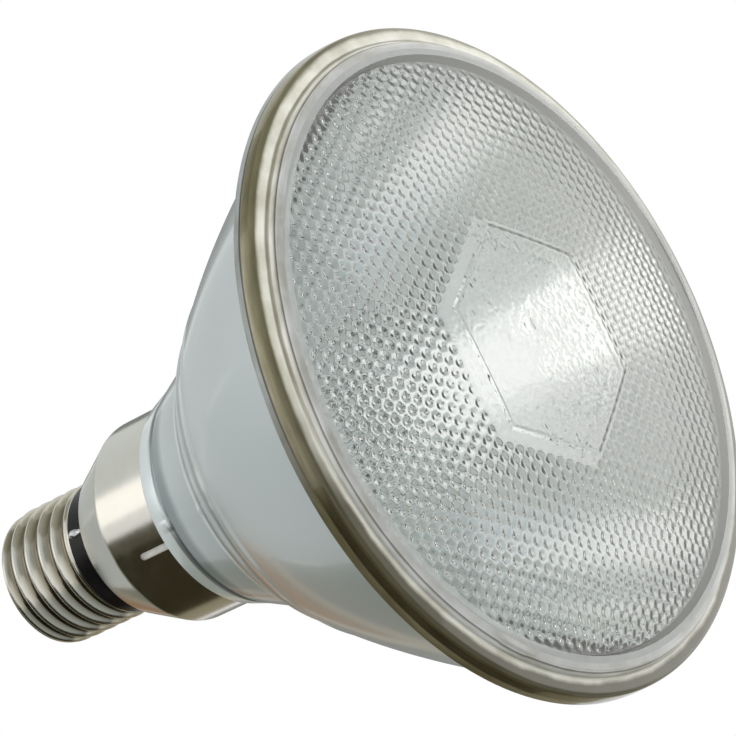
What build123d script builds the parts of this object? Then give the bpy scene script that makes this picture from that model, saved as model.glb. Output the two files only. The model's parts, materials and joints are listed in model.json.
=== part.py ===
from build123d import *
from math import cos, radians, sin, sqrt
import os

# Metal halide reflector lamp with a skirted screw cap, in millimetres.
# The lamp's axis is Z, the tip of the centre contact is the origin and the lens faces +Z.

# Fits
fit_gap = 0.05             # radial room where one round piece sits in another

# Screw shell
shell_foot = 4.8           # contact tip to the shell's lower edge
shell_length = 18.5
shell_radius = 13.2        # over the crests of the rolled thread
shell_wall = 0.45          # metal left under the thread's root
thread_pitch = 3.63
thread_depth = 1.1
thread_crest = 0.7         # width of the crest
thread_floor = 0.9         # width of the groove's floor
thread_over = 0.2          # groove's cutter beyond the crest
collar_length = 1.9        # plain ring above the thread
runout_length = 1.2        # taper at the shell's lower edge
runout_depth = 0.8

# Contact end
solder_height = 0.5
solder_radius = 2.4
contact_radius = 4.8
contact_thickness = 0.9
contact_edge = 0.4
eyelet_radius = 1.7
eyelet_length = 2.2
nose_margin = 0.9          # black glass that shows round the contact
nose_plug = 4.0            # depth of the black glass inside the shell

# Insulating band between shell and skirt
band_height = 5.1
band_set_back = 0.25
band_spigot = 4.5          # length inside the shell
band_collar = 2.4          # length inside the skirt
band_wall = 3.5
foot_seat = 1.95           # width of the shoulder under the skirt's foot

# Skirt
cap_length = 51.0          # contact tip to the skirt's rim
skirt_radius = 19.5
skirt_wall = 0.4
skirt_straight = 13.2      # cylindrical height below the rim
skirt_overhang = 2.05      # foot of the cone beyond the band
slit_count = 3
slit_width = 1.3
slit_depth = 7.4
slit_turn = 11.0           # degrees from +X to the slit in view
cement_thickness = 1.2
cement_drop = 0.2          # cement below the skirt's rim

# Arc tube, shroud and supports
arc_radius = 5.0
arc_wall = 0.8
arc_body = 15.0
arc_shoulder = 2.4         # cone at each end of the body
arc_gap = 7.0
leg_radius = 1.3
leg_length = 11.0
pin_radius = 0.4
coil_radius = 0.75
coil_length = 2.0
seal_height = 1.0
shroud_room = 2.1          # arc tube to shroud
shroud_wall = 1.1
shroud_length = 23.0
shroud_gap = 0.8           # shroud to support wires
clip_thickness = 0.4
clip_band = 1.3
clip_tab = 3.2
rod_radius = 0.8
rod_bend = 3.0
weld_gap = 0.4
heel_room = 0.6            # lower cross wire above the heel
getter_width = 3.0
getter_height = 4.5
getter_thickness = 0.6
getter_rise = 0.4          # above the upper clip

# Leads in the cap
shell_turn = -25.0         # degrees from +X to the lead that is soldered to the shell
wire_radius = 0.5
wire_clear = 1.0
bend_rise = 2.5            # bend of the leads above the insulating band
bead_radius = 1.1          # side solder across the insulating band
bead_sink = 0.3

# Glass reflector
bowl_height = 66.6         # skirt's rim to the sealing face
vertex_height = 6.2        # skirt's rim to the vertex of the mirror
lamp_radius = 60.5
flange_width = 3.45
bowl_wall = 4.15           # at the mouth
crease_height = 16.8       # skirt's rim to the crease under the bowl
crease_wall = 5.1
neck_depth = 10.5          # neck inside the skirt
rod_edge = 2.9             # support wire to the neck's wall
heel_recess = 2.3
heel_thickness = 4.0
heel_rim = 3.0
rod_hole_room = 0.7
lip_proud = 1.1            # lip of the neck beyond the skirt
lip_height = 4.0
lip_flare = 1.3
groove_depth = 0.4
groove_width = 0.6
ring_count = 3
ring_first = 0.3           # first ring above the crease
ring_step = 5.4
ring_foot = 3.4            # width of a ring where it leaves the bowl
ring_crest = 0.8
ring_root = 1.5            # depth of the ring's root in the bowl's wall
ring_proud = 0.5
ring_fade = 0.12           # each ring stands that much lower than the one below
flare_height = 3.4         # outward sweep under the flange, counted from the sealing face
flange_edge = 2.2
flange_set_back = 0.3
exhaust_radius = 3.0
exhaust_bore = 1.6
exhaust_length = 7.0
exhaust_point = 2.0        # length of the closed tip
ferrule_radius = 2.4
ferrule_wall = 0.5
ferrule_height = 3.0
ferrule_flange = 0.6

# Lens
lens_thickness = 4.0
lens_edge = 3.7            # sealing face to the top of the outer wall
rim_width = 5.2            # outer wall to the dome's edge
rim_rise = 6.0             # sealing face to the dome's edge
dome_rise = 6.3
step_width = 1.7           # rounded step inside the plain rim
land_rise = 0.4
edge_round = 1.4           # outer corner, broken by two flats
step_slope = 0.5
panel_radius = 22.5        # corners of the six-sided panel
panel_border = 1.5
panel_proud = 0.4
panel_sink = 1.0
mark_radius = 1.5          # round moulding mark beside the axis
mark_x = 3.1
mark_y = -3.1
mark_proud = 0.3

# Heights and radii that follow from the sizes above
shell_top = shell_foot + shell_length
shell_bore = shell_radius - thread_depth - shell_wall
nose_foot = solder_height + contact_thickness
band_radius = shell_radius - band_set_back
skirt_foot = shell_top + band_height
skirt_break = cap_length - skirt_straight
foot_radius = band_radius + skirt_overhang
foot_hole = band_radius - foot_seat
band_top = skirt_foot + band_collar
wire_bore = foot_hole - fit_gap - band_wall
neck_radius = skirt_radius - skirt_wall - cement_thickness
neck_foot = cap_length - neck_depth
heel_foot = neck_foot + heel_recess
heel_top = heel_foot + heel_thickness
shroud_bore = arc_radius + shroud_room
shroud_radius = shroud_bore + shroud_wall
lead_radius = shroud_radius + shroud_gap + rod_radius
cavity_radius = lead_radius + rod_radius + rod_edge
seal_face = cap_length + bowl_height
contact_turn = shell_turn + 180

# Arc tube heights, counted up from the heel
low_cross = heel_top + heel_room + rod_radius
arc_half = arc_body / 2
leg_end = arc_half + leg_length
pin_end = leg_end + seal_height + weld_gap + 2 * rod_radius
arc_centre = low_cross - rod_radius + pin_end
high_cross = arc_centre + pin_end - rod_radius
ferrule_foot = heel_foot - ferrule_height
ferrule_floor = ferrule_foot + ferrule_wall

# Mirror and bowl are paraboloids, r * r = 4 * focal * (z - vertex)
mouth_radius = lamp_radius - flange_width - bowl_wall
mirror_vertex = cap_length + vertex_height
mirror_focal = mouth_radius**2 / (4 * (seal_face - mirror_vertex))
crease = cap_length + crease_height
crease_radius = sqrt(4 * mirror_focal * (crease - mirror_vertex)) + crease_wall
bowl_mouth = mouth_radius + bowl_wall
bowl_focal = (bowl_mouth**2 - crease_radius**2) / (4 * (seal_face - crease))
bowl_vertex = seal_face - bowl_mouth**2 / (4 * bowl_focal)


def bowl_radius(height):
    return sqrt(4 * bowl_focal * (height - bowl_vertex))


def parabola(focal, vertex, first, last):
    # One quadratic curve is exactly the parabola between two radii.
    middle = ((first + last) / 2, vertex + first * last / (4 * focal))
    ends = [(radius, vertex + radius**2 / (4 * focal)) for radius in (first, last)]
    return Bezier(ends[0], middle, ends[1])


def upright(turn):
    # Plane through the axis: local x runs outwards at that turn, local y runs up.
    return Plane(
        origin=(0, 0, 0),
        x_dir=(cos(radians(turn)), sin(radians(turn)), 0),
        z_dir=(sin(radians(turn)), -cos(radians(turn)), 0),
    )


os.makedirs("parts", exist_ok=True)

# Screw shell, with the thread cut as one helical groove that runs out at the lower edge
with BuildPart() as screw_shell:
    with BuildSketch(Plane.XZ):
        with BuildLine():
            Polyline(
                (shell_bore, shell_foot),
                (shell_radius - runout_depth, shell_foot),
                (shell_radius, shell_foot + runout_length),
                (shell_radius, shell_top),
                (shell_bore, shell_top),
                close=True,
            )
        make_face()
    revolve(axis=Axis.Z)
    with BuildLine() as thread_line:
        Helix(
            pitch=thread_pitch,
            height=shell_length - collar_length,
            radius=shell_radius,
            center=(0, 0, shell_foot - thread_pitch / 2),
        )
    flank = (thread_pitch - thread_crest - thread_floor) / 2
    mouth = flank * (thread_depth + thread_over) / thread_depth
    with BuildSketch(Plane(thread_line.line @ 0, x_dir=(1, 0, 0), z_dir=thread_line.line % 0)):
        with BuildLine():
            Polyline(
                (-thread_depth, -thread_floor / 2),
                (thread_over, -thread_floor / 2 - mouth),
                (thread_over, thread_floor / 2 + mouth),
                (-thread_depth, thread_floor / 2),
                close=True,
            )
        make_face()
    sweep(path=thread_line.line, is_frenet=True, mode=Mode.SUBTRACT)
screw_shell.part.label = "screw_shell"
export_step(screw_shell.part, "parts/screw_shell.step")

# Black glass that closes the shell round the contact
with BuildPart() as nose_glass:
    with BuildSketch(Plane.XZ):
        with BuildLine():
            Polyline(
                (eyelet_radius + fit_gap, nose_foot),
                (contact_radius + nose_margin, nose_foot),
                (shell_bore, shell_foot),
                (shell_bore - fit_gap, shell_foot),
                (shell_bore - fit_gap, shell_foot + nose_plug),
                (eyelet_radius + fit_gap, shell_foot + nose_plug),
                close=True,
            )
        make_face()
    revolve(axis=Axis.Z)
nose_glass.part.label = "nose_glass"
export_step(nose_glass.part, "parts/nose_glass.step")

# Centre contact, a round-edged disc with an eyelet for the lead
with BuildPart() as centre_contact:
    with BuildSketch(Plane.XY.offset(solder_height)):
        Circle(contact_radius)
    extrude(amount=contact_thickness)
    chamfer(centre_contact.edges().filter_by(GeomType.CIRCLE).sort_by(Axis.Z)[0], contact_edge)
    with BuildSketch(Plane.XY.offset(nose_foot)):
        Circle(eyelet_radius)
    extrude(amount=eyelet_length)
    with BuildSketch(Plane.XY.offset(solder_height)):
        Circle(wire_radius + fit_gap)
    extrude(amount=contact_thickness + eyelet_length, mode=Mode.SUBTRACT)
centre_contact.part.label = "centre_contact"
export_step(centre_contact.part, "parts/centre_contact.step")

# Drop of solder on the contact, whose lowest point is the origin
with BuildPart() as contact_solder:
    with BuildSketch(Plane.XZ):
        with BuildLine():
            drop = RadiusArc(
                (0, 0),
                (solder_radius, solder_height),
                -(solder_radius**2 + solder_height**2) / (2 * solder_height),
            )
            Polyline(drop @ 1, (0, solder_height), drop @ 0)
        make_face()
    revolve(axis=Axis.Z)
contact_solder.part.label = "contact_solder"
export_step(contact_solder.part, "parts/contact_solder.step")

# Insulating band: a spigot in the shell, the black ring in view and a collar in the skirt
exit_height = shell_top + band_height / 2
with BuildPart() as insulating_band:
    with BuildSketch(Plane.XY.offset(shell_top - band_spigot)):
        Circle(shell_bore - fit_gap)
    extrude(amount=band_spigot)
    with BuildSketch(Plane.XY.offset(shell_top)):
        Circle(band_radius)
    extrude(amount=band_height)
    with BuildSketch(Plane.XY.offset(skirt_foot)):
        Circle(foot_hole - fit_gap)
    extrude(amount=band_collar)
    with BuildSketch(Plane.XY.offset(shell_top - band_spigot)):
        Circle(wire_bore)
    extrude(amount=band_top - shell_top + band_spigot, mode=Mode.SUBTRACT)
    out = upright(shell_turn).x_dir
    with BuildSketch(Plane((0, 0, exit_height), z_dir=out)):
        Circle(wire_radius + fit_gap)
    extrude(amount=band_radius + fit_gap, mode=Mode.SUBTRACT)
insulating_band.part.label = "insulating_band"
export_step(insulating_band.part, "parts/insulating_band.step")

# Spun skirt with open slits in its rim
with BuildPart() as skirt:
    with BuildSketch(Plane.XZ):
        with BuildLine():
            Polyline(
                (foot_hole, skirt_foot),
                (foot_radius, skirt_foot),
                (skirt_radius, skirt_break),
                (skirt_radius, cap_length),
                (skirt_radius - skirt_wall, cap_length),
                (skirt_radius - skirt_wall, skirt_break),
                (foot_radius - skirt_wall, skirt_foot + skirt_wall),
                (foot_hole, skirt_foot + skirt_wall),
                close=True,
            )
        make_face()
    revolve(axis=Axis.Z)
    for slit in range(slit_count):
        cut = upright(slit_turn + slit * 360 / slit_count)
        side = Plane(cut.x_dir * (skirt_radius - 2 * skirt_wall), x_dir=cut.z_dir, z_dir=cut.x_dir)
        with BuildSketch(side):
            with Locations((0, -cap_length + slit_depth - slit_width / 2)):
                Circle(slit_width / 2)
            with Locations((0, -cap_length + (slit_depth - slit_width / 2) / 2)):
                Rectangle(slit_width, slit_depth - slit_width / 2)
        extrude(amount=3 * skirt_wall, mode=Mode.SUBTRACT)
skirt.part.label = "skirt"
export_step(skirt.part, "parts/skirt.step")

# Cement between the skirt and the glass neck
with BuildPart() as cement:
    with BuildSketch(Plane.XY.offset(neck_foot)):
        Circle(skirt_radius - skirt_wall - fit_gap)
        Circle(neck_radius + fit_gap, mode=Mode.SUBTRACT)
    extrude(amount=neck_depth - cement_drop)
cement.part.label = "cement"
export_step(cement.part, "parts/cement.step")

# Side solder, a half-round bead over the band from the shell to the skirt
with BuildPart() as side_solder:
    with BuildSketch(Plane.XY.offset(shell_top)):
        with PolarLocations(band_radius - bead_sink, 1, start_angle=shell_turn):
            Circle(bead_radius)
        Circle(band_radius, mode=Mode.SUBTRACT)
    extrude(amount=band_height)
side_solder.part.label = "side_solder"
export_step(side_solder.part, "parts/side_solder.step")

# Pressed glass reflector: neck, lip, cone, ringed bowl, flange, mirror and heel
with BuildPart() as reflector:
    with BuildSketch(Plane.XZ):
        with BuildLine():
            lip_foot = skirt_radius + lip_proud
            lip_top = cap_length + lip_height
            neck = Polyline(
                (neck_radius - heel_rim, neck_foot),
                (neck_radius, neck_foot),
                (neck_radius, cap_length),
                (lip_foot, cap_length),
                (lip_foot + lip_flare, lip_top),
                (lip_foot + lip_flare - groove_depth, lip_top + groove_width),
                (lip_foot + lip_flare + groove_depth, lip_top + 2 * groove_width),
                (crease_radius, crease),
            )
            flare_foot = bowl_radius(seal_face - flare_height)
            bowl = parabola(bowl_focal, bowl_vertex, crease_radius, flare_foot)
            flange_radius = lamp_radius - flange_set_back
            flange_foot = seal_face - flange_edge
            Polyline(
                bowl @ 1,
                (flange_radius - groove_depth, flange_foot - groove_width),
                (flange_radius - 2 * groove_depth, flange_foot),
                (flange_radius, flange_foot),
                (flange_radius, seal_face),
                (mouth_radius, seal_face),
            )
            mirror_curve = parabola(mirror_focal, mirror_vertex, mouth_radius, cavity_radius)
            Polyline(
                mirror_curve @ 1,
                (cavity_radius, heel_top),
                (0, heel_top),
                (0, heel_foot),
                (neck_radius - heel_rim, heel_foot),
                neck @ 0,
            )
        make_face()
    revolve(axis=Axis.Z)
    for ring in range(ring_count):
        height = crease + ring_first + ring * ring_step
        crest = bowl_radius(height) + ring_proud - ring * ring_fade
        with BuildSketch(Plane.XZ):
            with BuildLine():
                Polyline(
                    (bowl_radius(height - ring_foot / 2) - ring_root, height - ring_foot / 2),
                    (bowl_radius(height - ring_foot / 2), height - ring_foot / 2),
                    (crest, height - ring_crest / 2),
                    (crest, height + ring_crest / 2),
                    (bowl_radius(height + ring_foot / 2) - ring_root, height + ring_foot / 2),
                    close=True,
                )
            make_face()
        revolve(axis=Axis.Z)
    with BuildSketch(Plane.XY.offset(heel_foot)):
        Circle(exhaust_bore)
        with PolarLocations(lead_radius, 2, start_angle=shell_turn):
            Circle(rod_radius + rod_hole_room)
    extrude(amount=heel_thickness, mode=Mode.SUBTRACT)
reflector.part.label = "reflector"
export_step(reflector.part, "parts/reflector.step")

# Exhaust tube under the heel, closed at its tip
exhaust_foot = heel_foot - exhaust_length
with BuildPart() as exhaust_tube:
    with BuildSketch(Plane.XY.offset(exhaust_foot)):
        Circle(exhaust_radius)
    extrude(amount=exhaust_length)
    tip = exhaust_tube.edges().filter_by(GeomType.CIRCLE).sort_by(Axis.Z)[0]
    chamfer(tip, exhaust_point, exhaust_radius - exhaust_bore / 2)
    with BuildSketch(Plane.XY.offset(exhaust_foot + exhaust_point)):
        Circle(exhaust_bore)
    extrude(amount=exhaust_length, mode=Mode.SUBTRACT)
exhaust_tube.part.label = "exhaust_tube"
export_step(exhaust_tube.part, "parts/exhaust_tube.step")

# Six-sided border that follows the dome, used by the lens
dome_edge = lamp_radius - rim_width
dome_foot = seal_face + rim_rise
apex = dome_foot + dome_rise
dome_radius = (dome_edge**2 + dome_rise**2) / (2 * dome_rise)
dome_centre = apex - dome_radius
with BuildPart() as panel_border_ring:
    with BuildSketch(Plane.XY.offset(dome_foot)):
        RegularPolygon(panel_radius, 6, rotation=30)
        RegularPolygon(panel_radius - panel_border / cos(radians(30)), 6, rotation=30, mode=Mode.SUBTRACT)
    extrude(amount=dome_rise + panel_proud)
    with BuildSketch(Plane.XZ):
        with Locations((0, dome_centre)):
            Circle(dome_radius + panel_proud)
            Circle(dome_radius - panel_sink, mode=Mode.SUBTRACT)
        with Locations((dome_edge, dome_centre)):
            Rectangle(2 * dome_edge, 3 * dome_radius, mode=Mode.INTERSECT)
    revolve(axis=Axis.Z, mode=Mode.INTERSECT)

# Domed lens with its stepped rim, panel border and moulding mark
with BuildPart() as lens:
    with BuildSketch(Plane.XZ):
        with BuildLine():
            inner_radius = dome_radius - lens_thickness
            inner_edge = dome_centre + sqrt(inner_radius**2 - mouth_radius**2)
            edge_top = seal_face + lens_edge
            step_out = dome_edge + step_width
            Line((mouth_radius, seal_face), (lamp_radius, seal_face))
            edge_cut = edge_round * (1 - cos(radians(45)))
            Polyline(
                (lamp_radius, seal_face),
                (lamp_radius, edge_top - edge_round),
                (lamp_radius - edge_cut, edge_top - edge_cut),
                (lamp_radius - edge_round, edge_top),
                (step_out + step_slope, edge_top + land_rise),
                (step_out, dome_foot - step_slope),
                (dome_edge, dome_foot),
            )
            RadiusArc((dome_edge, dome_foot), (0, apex), -dome_radius)
            Line((0, apex), (0, dome_centre + inner_radius))
            RadiusArc((0, dome_centre + inner_radius), (mouth_radius, inner_edge), inner_radius)
            Line((mouth_radius, inner_edge), (mouth_radius, seal_face))
        make_face()
    revolve(axis=Axis.Z)
    add(panel_border_ring.part)
    mark_foot = dome_centre + sqrt(dome_radius**2 - mark_x**2 - mark_y**2)
    with BuildSketch(Plane.XY.offset(mark_foot - panel_sink)):
        with Locations((mark_x, mark_y)):
            Circle(mark_radius)
    extrude(amount=panel_sink + mark_proud)
lens.part.label = "lens"
export_step(lens.part, "parts/lens.step")

# Ferrules sealed under the heel, closed cups that end the support wires
for name, turn in (("shell_ferrule", shell_turn), ("contact_ferrule", contact_turn)):
    with BuildPart() as ferrule:
        with BuildSketch(Plane.XY.offset(ferrule_foot)):
            with PolarLocations(lead_radius, 1, start_angle=turn):
                Circle(ferrule_radius)
        extrude(amount=ferrule_height)
        with BuildSketch(Plane.XY.offset(heel_foot - ferrule_wall)):
            with PolarLocations(lead_radius, 1, start_angle=turn):
                Circle(ferrule_radius + ferrule_flange)
        extrude(amount=ferrule_wall)
        with BuildSketch(Plane.XY.offset(ferrule_floor)):
            with PolarLocations(lead_radius, 1, start_angle=turn):
                Circle(ferrule_radius - ferrule_wall)
        extrude(amount=ferrule_height, mode=Mode.SUBTRACT)
    ferrule.part.label = name
    export_step(ferrule.part, f"parts/{name}.step")

# Support wires: from a ferrule up past the shroud and across to a pin of the arc tube
wires = (("short_support", shell_turn, low_cross), ("long_support", contact_turn, high_cross))
for name, turn, cross in wires:
    with BuildPart() as support:
        with BuildLine(upright(turn)) as route:
            FilletPolyline(
                (lead_radius, ferrule_floor),
                (lead_radius, cross),
                (pin_radius + fit_gap, cross),
                radius=rod_bend,
            )
        with BuildSketch(Plane(route.line @ 0, z_dir=route.line % 0)):
            Circle(rod_radius)
        sweep(path=route.line)
    support.part.label = name
    export_step(support.part, f"parts/{name}.step")

# Ceramic arc tube: a hollow body with coned ends and two thin legs
with BuildPart() as arc_tube:
    with BuildSketch(Plane.XZ):
        with BuildLine():
            waist = arc_half - arc_shoulder
            Polyline(
                (0, arc_centre - leg_end),
                (leg_radius, arc_centre - leg_end),
                (leg_radius, arc_centre - arc_half),
                (arc_radius, arc_centre - waist),
                (arc_radius, arc_centre + waist),
                (leg_radius, arc_centre + arc_half),
                (leg_radius, arc_centre + leg_end),
                (0, arc_centre + leg_end),
                close=True,
            )
        make_face()
    revolve(axis=Axis.Z)
    with BuildSketch(Plane.XZ):
        with BuildLine():
            bore = arc_radius - arc_wall
            Polyline(
                (0, arc_centre - arc_half),
                (bore, arc_centre - waist),
                (bore, arc_centre + waist),
                (0, arc_centre + arc_half),
                close=True,
            )
        make_face()
    revolve(axis=Axis.Z, mode=Mode.SUBTRACT)
    with BuildSketch(Plane.XY.offset(arc_centre - leg_end)):
        Circle(pin_radius + fit_gap)
    extrude(amount=2 * leg_end, mode=Mode.SUBTRACT)
arc_tube.part.label = "arc_tube"
export_step(arc_tube.part, "parts/arc_tube.step")

# Electrodes, glass seals and shroud clips come in pairs above and below the arc's centre
for side, way in (("upper", 1), ("lower", -1)):
    with BuildPart() as electrode:
        with BuildSketch(Plane.XZ):
            with BuildLine():
                Polyline(
                    (0, arc_centre + way * arc_gap / 2),
                    (coil_radius, arc_centre + way * arc_gap / 2),
                    (coil_radius, arc_centre + way * (arc_gap / 2 + coil_length)),
                    (pin_radius, arc_centre + way * (arc_gap / 2 + coil_length)),
                    (pin_radius, arc_centre + way * pin_end),
                    (0, arc_centre + way * pin_end),
                    close=True,
                )
            make_face()
        revolve(axis=Axis.Z)
    electrode.part.label = f"{side}_electrode"
    export_step(electrode.part, f"parts/{side}_electrode.step")

    with BuildPart() as seal:
        with BuildSketch(Plane.XZ):
            with BuildLine():
                Polyline(
                    (pin_radius + fit_gap, arc_centre + way * leg_end),
                    (leg_radius, arc_centre + way * leg_end),
                    (pin_radius + 2 * fit_gap, arc_centre + way * (leg_end + seal_height)),
                    (pin_radius + fit_gap, arc_centre + way * (leg_end + seal_height)),
                    close=True,
                )
            make_face()
        revolve(axis=Axis.Z)
    seal.part.label = f"{side}_seal"
    export_step(seal.part, f"parts/{side}_seal.step")

    with BuildPart() as clip:
        with BuildSketch(Plane.XY.offset(arc_centre + way * shroud_length / 2)):
            Circle(shroud_radius)
            Circle(shroud_radius - clip_band, mode=Mode.SUBTRACT)
            with PolarLocations(lead_radius, 1, start_angle=contact_turn):
                Rectangle(2 * (shroud_gap + rod_radius) + clip_band, clip_tab)
                Circle(rod_radius + fit_gap, mode=Mode.SUBTRACT)
        extrude(amount=way * clip_thickness)
    clip.part.label = f"{side}_clip"
    export_step(clip.part, f"parts/{side}_clip.step")

# Quartz shroud round the arc tube
with BuildPart() as shroud:
    with BuildSketch(Plane.XY.offset(arc_centre - shroud_length / 2)):
        Circle(shroud_radius)
        Circle(shroud_bore, mode=Mode.SUBTRACT)
    extrude(amount=shroud_length)
shroud.part.label = "shroud"
export_step(shroud.part, "parts/shroud.step")

# Getter strip welded to the long support
with BuildPart() as getter:
    stand = upright(contact_turn)
    back = lead_radius + rod_radius + fit_gap
    getter_foot = arc_centre + shroud_length / 2 + clip_thickness + getter_rise
    foot = stand.x_dir * back + Vector(0, 0, getter_foot + getter_height / 2)
    with BuildSketch(Plane(foot, x_dir=stand.z_dir, z_dir=stand.x_dir)):
        Rectangle(getter_width, getter_height)
    extrude(amount=getter_thickness)
getter.part.label = "getter"
export_step(getter.part, "parts/getter.step")

# Leads from the ferrules: one to the side solder, one down the axis to the contact
bend_height = band_top + bend_rise
drop_radius = wire_bore - wire_radius - wire_clear
shell_route = [
    (lead_radius, ferrule_foot),
    (lead_radius, bend_height),
    (drop_radius, band_top),
    (drop_radius, exit_height),
    (band_radius - fit_gap, exit_height),
]
contact_route = [
    (lead_radius, ferrule_foot),
    (lead_radius, bend_height),
    (0, skirt_foot),
    (0, solder_height),
]
leads = (("shell_lead", shell_turn, shell_route), ("contact_lead", contact_turn, contact_route))
for name, turn, points in leads:
    with BuildPart() as lead:
        with BuildLine(upright(turn)) as route:
            Polyline(*points)
        with BuildSketch(Plane(route.line @ 0, z_dir=route.line % 0)):
            Circle(wire_radius)
        sweep(path=route.line, transition=Transition.RIGHT)
    lead.part.label = name
    export_step(lead.part, f"parts/{name}.step")
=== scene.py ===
import json
from math import cos, floor, hypot, pi, radians, sin, sqrt

import bmesh
import bpy
from mathutils import Matrix, Vector
from mathutils.geometry import delaunay_2d_cdt


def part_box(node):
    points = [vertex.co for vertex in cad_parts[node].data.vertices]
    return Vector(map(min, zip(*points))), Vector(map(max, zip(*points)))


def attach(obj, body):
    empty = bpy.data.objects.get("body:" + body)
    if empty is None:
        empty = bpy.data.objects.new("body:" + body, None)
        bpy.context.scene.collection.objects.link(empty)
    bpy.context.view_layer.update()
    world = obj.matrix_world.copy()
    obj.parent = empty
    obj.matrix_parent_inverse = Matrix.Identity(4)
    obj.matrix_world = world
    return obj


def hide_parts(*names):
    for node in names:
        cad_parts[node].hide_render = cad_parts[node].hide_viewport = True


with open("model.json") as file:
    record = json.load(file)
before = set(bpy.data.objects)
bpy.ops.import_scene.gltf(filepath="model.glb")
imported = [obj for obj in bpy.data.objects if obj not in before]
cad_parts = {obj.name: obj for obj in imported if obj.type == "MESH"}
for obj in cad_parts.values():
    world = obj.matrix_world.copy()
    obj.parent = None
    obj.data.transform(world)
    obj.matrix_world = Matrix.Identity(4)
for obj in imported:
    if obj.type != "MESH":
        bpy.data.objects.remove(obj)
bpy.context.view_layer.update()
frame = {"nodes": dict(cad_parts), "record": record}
mm = 0.001
scene = bpy.context.scene

for spare in [o for o in scene.objects if o.type in ("CAMERA", "LIGHT")]:
    bpy.data.objects.remove(spare)


# a shaded finish and the small node pieces it is built from

def newFinish(name, **values):
    finish = bpy.data.materials.new(name)
    finish.use_nodes = True
    shader = finish.node_tree.nodes["Principled BSDF"]
    for label, value in values.items():
        shader.inputs[label.replace("_", " ")].default_value = value
    return finish, finish.node_tree, shader


def grain(tree, scale, detail=4.0, stretch=(1, 1, 1)):
    place = tree.nodes.new("ShaderNodeTexCoord")
    shift = tree.nodes.new("ShaderNodeMapping")
    shift.inputs["Scale"].default_value = stretch
    noise = tree.nodes.new("ShaderNodeTexNoise")
    noise.inputs["Scale"].default_value = scale
    noise.inputs["Detail"].default_value = detail
    noise.inputs["Roughness"].default_value = 0.55
    tree.links.new(place.outputs["Object"], shift.inputs["Vector"])
    tree.links.new(shift.outputs["Vector"], noise.inputs["Vector"])
    return noise.outputs["Fac"]


def toneRamp(tree, source, stops, target=None):
    ramp = tree.nodes.new("ShaderNodeValToRGB")
    ends = ramp.color_ramp.elements
    while len(ends) < len(stops):
        ends.new(0.5)
    for element, (spot, tone) in zip(ends, stops):
        element.position = spot
        element.color = (*tone, 1.0)
    tree.links.new(source, ramp.inputs["Fac"])
    if target:
        tree.links.new(ramp.outputs["Color"], target)
    return ramp.outputs["Color"]


noiseSpan = (0.3, 0.7)  # nearly all of the noise lies between these


def twoTone(tree, fleck, dark, light, target=None):
    return toneRamp(tree, fleck, [(noiseSpan[0], dark), (noiseSpan[1], light)], target)


def levelRange(tree, source, low, high, target):
    remap = tree.nodes.new("ShaderNodeMapRange")
    remap.inputs["From Min"].default_value = noiseSpan[0]
    remap.inputs["From Max"].default_value = noiseSpan[1]
    remap.inputs["To Min"].default_value = low
    remap.inputs["To Max"].default_value = high
    tree.links.new(source, remap.inputs["Value"])
    tree.links.new(remap.outputs["Result"], target)


def relief(tree, source, shader, strength, depth):
    bump = tree.nodes.new("ShaderNodeBump")
    bump.inputs["Strength"].default_value = strength
    bump.inputs["Distance"].default_value = depth * mm
    tree.links.new(source, bump.inputs["Height"])
    tree.links.new(bump.outputs["Normal"], shader.inputs["Normal"])


def radiusSpan(tree, low, high):
    # 0 to 1 across a span of radius round the lamp's axis
    place = tree.nodes.new("ShaderNodeTexCoord")
    flat = tree.nodes.new("ShaderNodeVectorMath")
    flat.operation = "MULTIPLY"
    flat.inputs[1].default_value = (1, 1, 0)
    length = tree.nodes.new("ShaderNodeVectorMath")
    length.operation = "LENGTH"
    span = tree.nodes.new("ShaderNodeMapRange")
    span.inputs["From Min"].default_value = low * mm
    span.inputs["From Max"].default_value = high * mm
    tree.links.new(place.outputs["Object"], flat.inputs[0])
    tree.links.new(flat.outputs["Vector"], length.inputs[0])
    tree.links.new(length.outputs["Value"], span.inputs["Value"])
    return span.outputs["Result"]


def axisSpan(tree, low, high, wander=0.0, axis="Z"):
    # 0 to 1 along an axis, with a little unevenness
    place = tree.nodes.new("ShaderNodeTexCoord")
    split = tree.nodes.new("ShaderNodeSeparateXYZ")
    span = tree.nodes.new("ShaderNodeMapRange")
    span.inputs["From Min"].default_value = low * mm
    span.inputs["From Max"].default_value = high * mm
    tree.links.new(place.outputs["Object"], split.inputs["Vector"])
    tree.links.new(split.outputs[axis], span.inputs["Value"])
    uneven = tree.nodes.new("ShaderNodeMath")
    uneven.operation = "MULTIPLY_ADD"
    uneven.inputs[1].default_value = wander
    tree.links.new(grain(tree, 90, 5, stretch=(1, 1, 0.25)), uneven.inputs[0])
    tree.links.new(span.outputs["Result"], uneven.inputs[2])
    return uneven.outputs[0]


def multiplied(tree, first, second, target=None):
    blend = tree.nodes.new("ShaderNodeMix")
    blend.data_type = "RGBA"
    blend.blend_type = "MULTIPLY"
    blend.inputs["Factor"].default_value = 1.0
    tree.links.new(first, blend.inputs["A"])
    tree.links.new(second, blend.inputs["B"])
    if target:
        tree.links.new(blend.outputs["Result"], target)
    return blend.outputs["Result"]


def blended(tree, share, first, second):
    blend = tree.nodes.new("ShaderNodeMix")
    blend.data_type = "RGBA"
    tree.links.new(share, blend.inputs["Factor"])
    tree.links.new(first, blend.inputs["A"])
    tree.links.new(second, blend.inputs["B"])
    return blend.outputs["Result"]


def darkReflectionShare(tree):
    # painted reflection: the fused rim goes from its lit grey look to a dark brown over this stretch toward
    # +Y, painted as the dark surroundings reflected on that side
    litSideEnd, darkSideEnd = -14, 10
    return axisSpan(tree, litSideEnd, darkSideEnd, axis="Y")


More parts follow.
